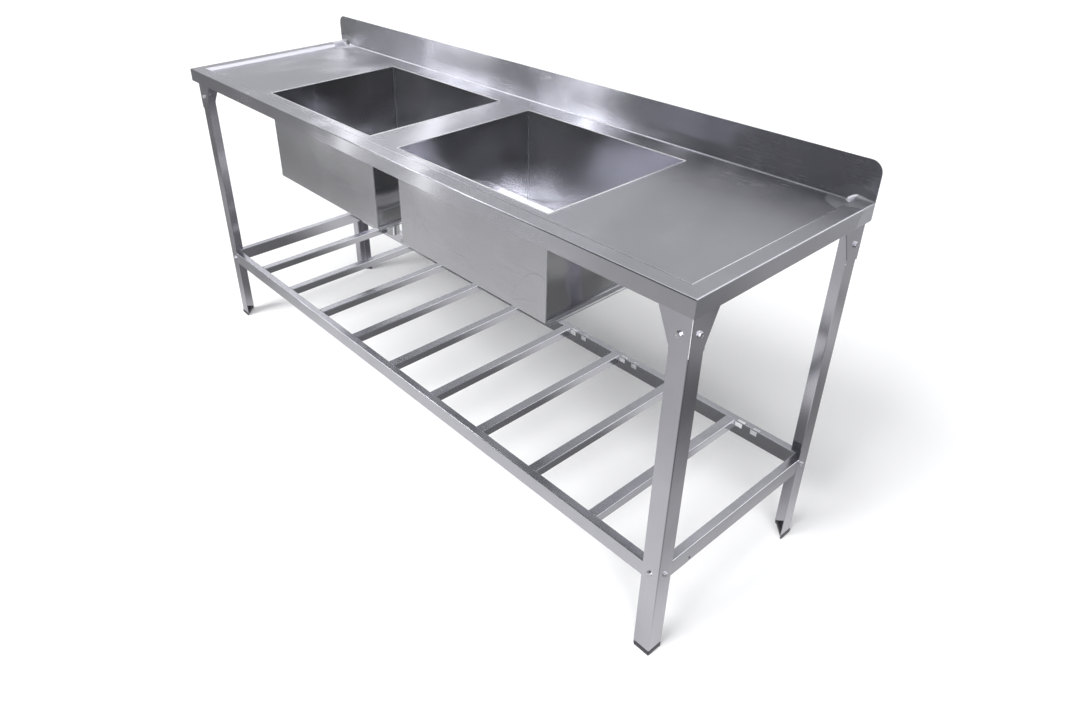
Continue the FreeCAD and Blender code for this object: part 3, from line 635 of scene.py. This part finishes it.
def steel(
        name, light, dark, roughness, grain, wave,
        anisotropy=0.0, metallic=1.0, bump=0.03, streaks=0.25, clouds=0.05):
    """Stainless sheet: fine grain lines, cloudy smudges and a slow waviness in its reflections.

    grain is the noise scale along each axis, wave the strength of the waviness, streaks and
    clouds how far the grain lines change the tone and the smudges the gloss."""
    material, tree, surface, place = new_material(
        name, Metallic=metallic, Anisotropic=anisotropy)
    lines = noise(tree, stretched(tree, place, grain), 1.0, detail=3.0, roughness=0.6)
    smudges = noise(tree, place, 5.0, detail=5.0, roughness=0.6)
    tone = math_node(
        tree, "ADD", remap(tree, smudges, *MOST_NOISE, 0.15, 0.85),
        remap(tree, lines, *MOST_NOISE, -streaks, streaks), clamp=True)
    color = mix_colors(tree, tone, (*dark, 1), (*light, 1))
    tree.links.new(color, surface.inputs["Base Color"])
    rough = total(
        tree, remap(tree, lines, *MOST_NOISE, roughness * 0.88, roughness * 1.12),
        ramp(tree, smudges, 0.5, 0.75, clouds))
    tree.links.new(rough, surface.inputs["Roughness"])
    swell = noise(tree, place, 3.5, detail=1.5, roughness=0.4)
    slow = add_node(tree, "ShaderNodeBump", {
        "Height": swell, "Strength": wave, "Distance": 0.02})
    fine = add_node(tree, "ShaderNodeBump", {
        "Height": lines, "Strength": bump, "Distance": 0.0002, "Normal": slow.outputs[0]})
    tree.links.new(fine.outputs[0], surface.inputs["Normal"])
    return material, tree, surface, place


def relink(tree, surface, socket, change):
    """Puts change(the value that feeds a socket) in its place."""
    fed = surface.inputs[socket].links[0].from_socket
    tree.links.new(change(fed), surface.inputs[socket])


def roughen(tree, surface, mask, amount):
    """Makes a surface rougher by an amount where a mask is 1."""
    relink(tree, surface, "Roughness", lambda fed: total(
        tree, fed, product(tree, mask, amount)))


def add_scratches(tree, surface, place, scale, depth):
    """Long faint curved scratches, where one thin level of a slow noise runs."""
    sets = []
    for shift in (0.0, 7.3):
        moved = add_node(tree, "ShaderNodeMapping", {
            "Vector": place, "Location": (shift, shift, 0)})
        field = noise(tree, moved.outputs[0], scale, detail=1.0)
        away = math_node(tree, "ABSOLUTE", math_node(tree, "SUBTRACT", field, 0.5))
        sets.append(remap(tree, away, 0.0, SCRATCH_WIDTH, 1.0, 0.0))
    broken = ramp(tree, noise(tree, place, scale * 2.2, detail=2.0), 0.48, 0.6)
    marks = product(tree, math_node(tree, "MAXIMUM", *sets), broken)
    relink(tree, surface, "Base Color", lambda fed: mix_colors(
        tree, product(tree, marks, depth), fed, SCRATCH_COLOR))
    roughen(tree, surface, marks, 0.08)


def follow_x(tree, surface):
    """Stretched highlights that follow grain along the worktop's length."""
    across = add_node(tree, "ShaderNodeCombineXYZ", {"X": 0.0, "Y": 0.05, "Z": 1.0})
    tree.links.new(across.outputs[0], surface.inputs["Tangent"])


def ground_zone(tree, place, middle, radius, edge):
    """1 within radius of a point, falling to 0 over edge beyond it."""
    return remap(tree, distance(tree, place, middle), radius, radius + edge, 1.0, 0.0)


def add_ground_zones(tree, surface, place):
    """Duller sheet round the splash's end welds, and rub marks beside the right bowl and on
    the splash's top edge."""
    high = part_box("worktop")[1]
    inset, level = high[0] - WELD_ZONE_INSET, RIM_TOP - WELD_ZONE_DROP
    zones = [
        ground_zone(tree, place, (sign * inset, high[1], level), *WELD_ZONE)
        for sign in (-1, 1)]
    roughen(tree, surface, math_node(tree, "MAXIMUM", *zones), 0.16)
    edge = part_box("right_bowl_right_side")[0][0]
    beside = ground_zone(tree, place, (edge + 0.02, -0.02, RIM_TOP), *RUBBED_ZONE)
    blots = ramp(tree, noise(tree, place, 60.0, detail=4.0, roughness=0.65), 0.5, 0.7, 0.45)
    top = ramp(tree, split(tree, place)["Z"], high[2] - SPLASH_RUB, high[2])
    lines = noise(tree, stretched(tree, place, (9.0, 60.0, 60.0)), 1.0, detail=4.0)
    rubbed = math_node(
        tree, "MAXIMUM", product(tree, beside, blots),
        product(tree, top, ramp(tree, lines, 0.55, 0.72)))
    roughen(tree, surface, rubbed, 0.05)


def plastic(name, color):
    """Moulded plastic or rubber with a fine grain."""
    material, tree, surface, place = new_material(name, Base_Color=color, Roughness=0.42)
    grain = noise(tree, place, 900.0, detail=2.0)
    bump = add_node(tree, "ShaderNodeBump", {
        "Height": grain, "Strength": 0.25, "Distance": 0.0003})
    tree.links.new(bump.outputs[0], surface.inputs["Normal"])
    return material


def add_materials():
    """Makes the finishes, gives each CAD node its own, and returns them by name."""
    made = {name: steel(name, **look) for name, look in STEELS.items()}
    finishes = {name: parts[0] for name, parts in made.items()}
    finishes.update((name, plastic(name, color)) for name, color in PLASTICS.items())
    tree, surface, place = made["brushed_top"][1:]
    follow_x(tree, surface)
    add_ground_zones(tree, surface, place)
    tree, surface, place = made["bowl_sheet"][1:]
    follow_x(tree, surface)
    add_scratches(tree, surface, place, 3.2, 0.3)
    add_scratches(*made["bowl_side_sheet"][1:], 4.0, 0.3)
    for name, part in NODES.items():
        # The bowls' side walls get the darker steel that paints shade on them.
        side = "_bowl_" in name and name.endswith("_side")
        for slot in part.material_slots:
            finish = "bowl_side_sheet" if side else SLOT_FINISHES[slot.material.name]
            slot.material = finishes[finish]
    return finishes


# ---- Floor -----------------------------------------------------------------------------------
# The camera sees a pale floor with the table's shadow. Reflections see a pool of light painted
# on it as a glow, brightest beside the table, with painted shade in places. Lengths are in metres
# from the frame's origin, levels are of white.
FLOOR_HALF = 30.0
FLOOR_GAP = 0.0005  # under the shoes
FLOOR_COLOR = (0.93, 0.93, 0.935, 1)
# Painted shade: reflections see the floor nearly black, so that only the painted pool lights it.
MIRRORED_FLOOR_SHADE_COLOR = (0.07, 0.07, 0.072, 1)
FLOOR_LIFT = 0.04  # added for the camera, to bring the lit floor up to white
POOL_LEVEL = 0.76
POOL_FADE = 0.308  # share of the pool left where the weighed distance is 1
WEIGH_RIGHT, WEIGH_LEFT, WEIGH_DEPTH = 3.5, -0.8, 0.6
# Painted shade in the pool under the table:
UNDER_ENDS = (0.05, -0.15)  # past the table's ends, where the dark under it starts and is full
UNDER_SIDES = (0.1, -0.1)  # the same past its front and rear
UNDER_SHARE = 0.85
POOL_BEHIND = (1.15, 1.55, 0.27)  # Y where it starts and is full, level added
POOL_BEFORE = (-0.3, -1.2, 0.1)
# Bands of painted shade in the pool:
PAINTED_SHADE_BEFORE = (-1.03, 0.45, 0.14)  # Y of the middle, half width, share taken away
PAINTED_SHADE_PARTS = (  # such a band along Y, and the X where it starts and is full
    ((0.64, 0.45, 0.5), (0.92, 1.0)),  # behind the right end
    ((-1.03, 0.3, 0.5), (-1.05, -1.6)),  # before the left end
    ((-0.43, 0.25, 0.55), (-0.6, -1.1)))  # beside the front rail's left half
# Two painted streaks of light spread from the place where the photo's viewpoint lies mirrored
# in the splash.
STREAK_START = (1.567, 1.747)
STREAKS = ((-0.938, 0.032, 3.6), (-1.175, 0.055, 4.6))  # slope, half width in slope, level
STREAKS_FROM = (-1.5, -1.65)  # Y where they start and are full
# Painted spots of light in the pool.
LIGHT_SPOTS = (  # middle, radius, level
    ((-1.46, -1.45, 0.0), 0.2, 1.6), ((2.1, -1.03, 0.0), 0.35, 2.0),
    ((1.43, 1.1, 0.0), 0.3, 0.4), ((1.62, 0.78, 0.0), 0.26, 0.24))


def painted_floor_pool(tree, place):
    """The pool of light and shade painted on the floor for reflections."""
    end, side = CAD_BOX[1].x, CAD_BOX[1].y
    x, y, _ = split(tree, place)
    width, reach = math_node(tree, "ABSOLUTE", x), math_node(tree, "ABSOLUTE", y)

    def beyond(value, weigh, edge):
        return math_node(tree, "MULTIPLY_ADD", value, weigh, edge)

    across = math_node(
        tree, "MAXIMUM", beyond(x, WEIGH_RIGHT, -WEIGH_RIGHT * end),
        beyond(x, WEIGH_LEFT, WEIGH_LEFT * end))
    across = math_node(tree, "MAXIMUM", across, 0.0)
    deep = math_node(tree, "MAXIMUM", beyond(reach, WEIGH_DEPTH, -WEIGH_DEPTH * side), 0.0)
    away = math_node(tree, "SQRT", total(
        tree, math_node(tree, "POWER", across, 2.0), math_node(tree, "POWER", deep, 2.0)))
    pool = product(tree, math_node(tree, "POWER", POOL_FADE, away), POOL_LEVEL)
    pool = lessen(tree, pool, product(
        tree, ramp(tree, width, *[end + past for past in UNDER_ENDS]),
        ramp(tree, reach, *[side + past for past in UNDER_SIDES], UNDER_SHARE)))
    pool = total(tree, pool, ramp(tree, y, *POOL_BEHIND), ramp(tree, y, *POOL_BEFORE))
    pool = lessen(tree, pool, bands(tree, y, PAINTED_SHADE_BEFORE))
    for row, span in PAINTED_SHADE_PARTS:
        pool = lessen(tree, pool, product(tree, bands(tree, y, row), ramp(tree, x, *span)))
    slope = math_node(
        tree, "DIVIDE", math_node(tree, "SUBTRACT", x, STREAK_START[0]),
        math_node(tree, "SUBTRACT", STREAK_START[1], y))
    streaks = product(tree, bands(tree, slope, *STREAKS), ramp(tree, y, *STREAKS_FROM))
    spots = [
        bands(tree, distance(tree, place, middle), (0.0, radius, level))
        for middle, radius, level in LIGHT_SPOTS]
    return total(tree, pool, streaks, *spots)


def add_floor():
    """Pale floor that keeps the table's shadow; reflections see the painted pool of light
    instead.
    """
    mesh = bpy.data.meshes.new("floor")
    shape = bmesh.new()
    bmesh.ops.create_grid(shape, x_segments=8, y_segments=8, size=FLOOR_HALF)
    shape.to_mesh(mesh)
    shape.free()
    floor = bpy.data.objects.new("floor", mesh)
    floor.location.z = CAD_BOX[0].z - FLOOR_GAP
    bpy.context.scene.collection.objects.link(floor)
    material, tree, surface, place = new_material(
        "floor", Roughness=0.9, Specular_IOR_Level=0.0, Emission_Color=(1, 1, 1, 1))
    path = add_node(tree, "ShaderNodeLightPath").outputs
    mirrored = math_node(
        tree, "ADD", path["Is Glossy Ray"], path["Is Transmission Ray"], clamp=True)
    color = mix_colors(tree, mirrored, FLOOR_COLOR, MIRRORED_FLOOR_SHADE_COLOR)
    tree.links.new(color, surface.inputs["Base Color"])
    glow = total(
        tree, product(tree, path["Is Camera Ray"], FLOOR_LIFT),
        product(tree, mirrored, painted_floor_pool(tree, place)))
    tree.links.new(glow, surface.inputs["Emission Strength"])
    floor.data.materials.append(material)


# ---- World and lamps -------------------------------------------------------------------------
# X, Y and Z are those of a ray's direction. A strip is its middle, half width and level.
REAR_FROM = (-0.2, 0.3)  # Y where the rear wall starts and is full; the rest is the front wall
CEILING = (0.55, 0.85, 0.56, 1.3)  # Z where the rear wall starts and ends to lighten, levels
CEILING_NOTCH = (0.67, 0.14, 0.42)
REAR_STRIPS = ((-0.82, 0.015, 1.7), (-0.768, 0.010, 2.2))
FRONT_TONE = (-0.57, -0.62, 0.1, 0.5)  # X where the front wall starts and ends to lighten, levels
FRONT_STRIPS = ((-0.757, 0.022, 4.6), (-0.645, 0.022, 8.0))
ABOVE_RIM = (-0.02, 0.22, 1.0)  # band along Y that lights the left rim and the ledge
ABOVE_RIM_FROM = (0.3, 0.42)  # Z
ABOVE_RIM_TONE = (-0.7, -0.8, 0.3, 0.8)
RIM_STRIPS = ((-0.822, 0.025, 3.2), (-0.757, 0.022, 3.0))
BEHIND_RIGHT = (0.42, 0.25, 2.2)
BEHIND_RIGHT_FROM = (0.1, 0.3)  # Z
WINDOW_TOWARD = (0.724, -0.595, 0.347)
WINDOW = (0.93, 0.985, 9.0)  # cosine where it starts and is full, level
DIFFUSE_SHARE = 0.05  # of the room's light that matt surfaces get
ROOM_COLOR = (0.965, 0.97, 1.0, 1)
SUNS = {  # direction of travel, spread in degrees, strength
    "from_right": ((-0.65, 0.41, -1.0), 28, 0.75),
    "from_above": ((0.0, 0.53, -1.0), 28, 1.15),
    "from_front": ((0.18, 1.05, -1.0), 30, 2.3)}


def room_level(tree):
    """How bright the room is in each direction."""
    direction = add_node(tree, "ShaderNodeTexCoord").outputs["Generated"]
    x, y, z = split(tree, direction)
    rear = ramp(tree, y, *REAR_FROM)
    ceiling = math_node(
        tree, "SUBTRACT", remap(tree, z, *CEILING), bands(tree, z, CEILING_NOTCH))
    rear_wall = total(tree, ceiling, bands(tree, x, *REAR_STRIPS))
    front_wall = total(tree, remap(tree, x, *FRONT_TONE), bands(tree, x, *FRONT_STRIPS))
    above_rim = product(tree, bands(tree, y, ABOVE_RIM), ramp(tree, z, *ABOVE_RIM_FROM))
    rim_light = total(tree, remap(tree, x, *ABOVE_RIM_TONE), bands(tree, x, *RIM_STRIPS))
    behind_right = product(
        tree, bands(tree, x, BEHIND_RIGHT), ramp(tree, z, *BEHIND_RIGHT_FROM))
    toward = add_node(
        tree, "ShaderNodeVectorMath", {0: direction, 1: WINDOW_TOWARD},
        operation="DOT_PRODUCT").outputs["Value"]
    return total(
        tree, product(tree, rear, rear_wall), lessen(tree, front_wall, rear),
        product(tree, above_rim, rim_light), product(tree, rear, behind_right),
        ramp(tree, toward, *WINDOW))


def add_world():
    """White to the camera; to everything else a pale room, darker in front, with light strips."""
    world = bpy.data.worlds.new("studio")
    bpy.context.scene.world = world
    world.use_nodes = True
    tree = world.node_tree
    tree.nodes.clear()
    path = add_node(tree, "ShaderNodeLightPath").outputs
    room = product(
        tree, room_level(tree), remap(tree, path["Is Diffuse Ray"], 0.0, 1.0, 1.0, DIFFUSE_SHARE))
    glow = add_node(tree, "ShaderNodeBackground", {"Color": ROOM_COLOR, "Strength": room})
    paper = add_node(tree, "ShaderNodeBackground", {"Color": (1, 1, 1, 1), "Strength": 1.0})
    mixed = add_node(tree, "ShaderNodeMixShader", {
        0: path["Is Camera Ray"], 1: glow.outputs[0], 2: paper.outputs[0]})
    add_node(tree, "ShaderNodeOutputWorld", {"Surface": mixed.outputs[0]})


def add_sun(name, toward, spread, strength):
    """Soft parallel light travelling along toward; it lights surfaces but isn't mirrored."""
    data = bpy.data.lights.new(name, "SUN")
    data.energy = strength
    data.angle = math.radians(spread)
    lamp = bpy.data.objects.new(name, data)
    lamp.rotation_euler = Vector(toward).to_track_quat("-Z", "Y").to_euler()
    lamp.visible_glossy = False
    bpy.context.scene.collection.objects.link(lamp)


add_camera()
materials = add_materials()
soften(0.0005, "worktop")
soften(0.0008, *names("foot_"))
add_fasteners(materials["zinc"])
add_seams(materials)
add_edges_painted_bright(materials)
add_splash_fold(materials)
add_shelf_details(materials)
add_floor()
add_world()
for name, settings in SUNS.items():
    add_sun(name, *settings)
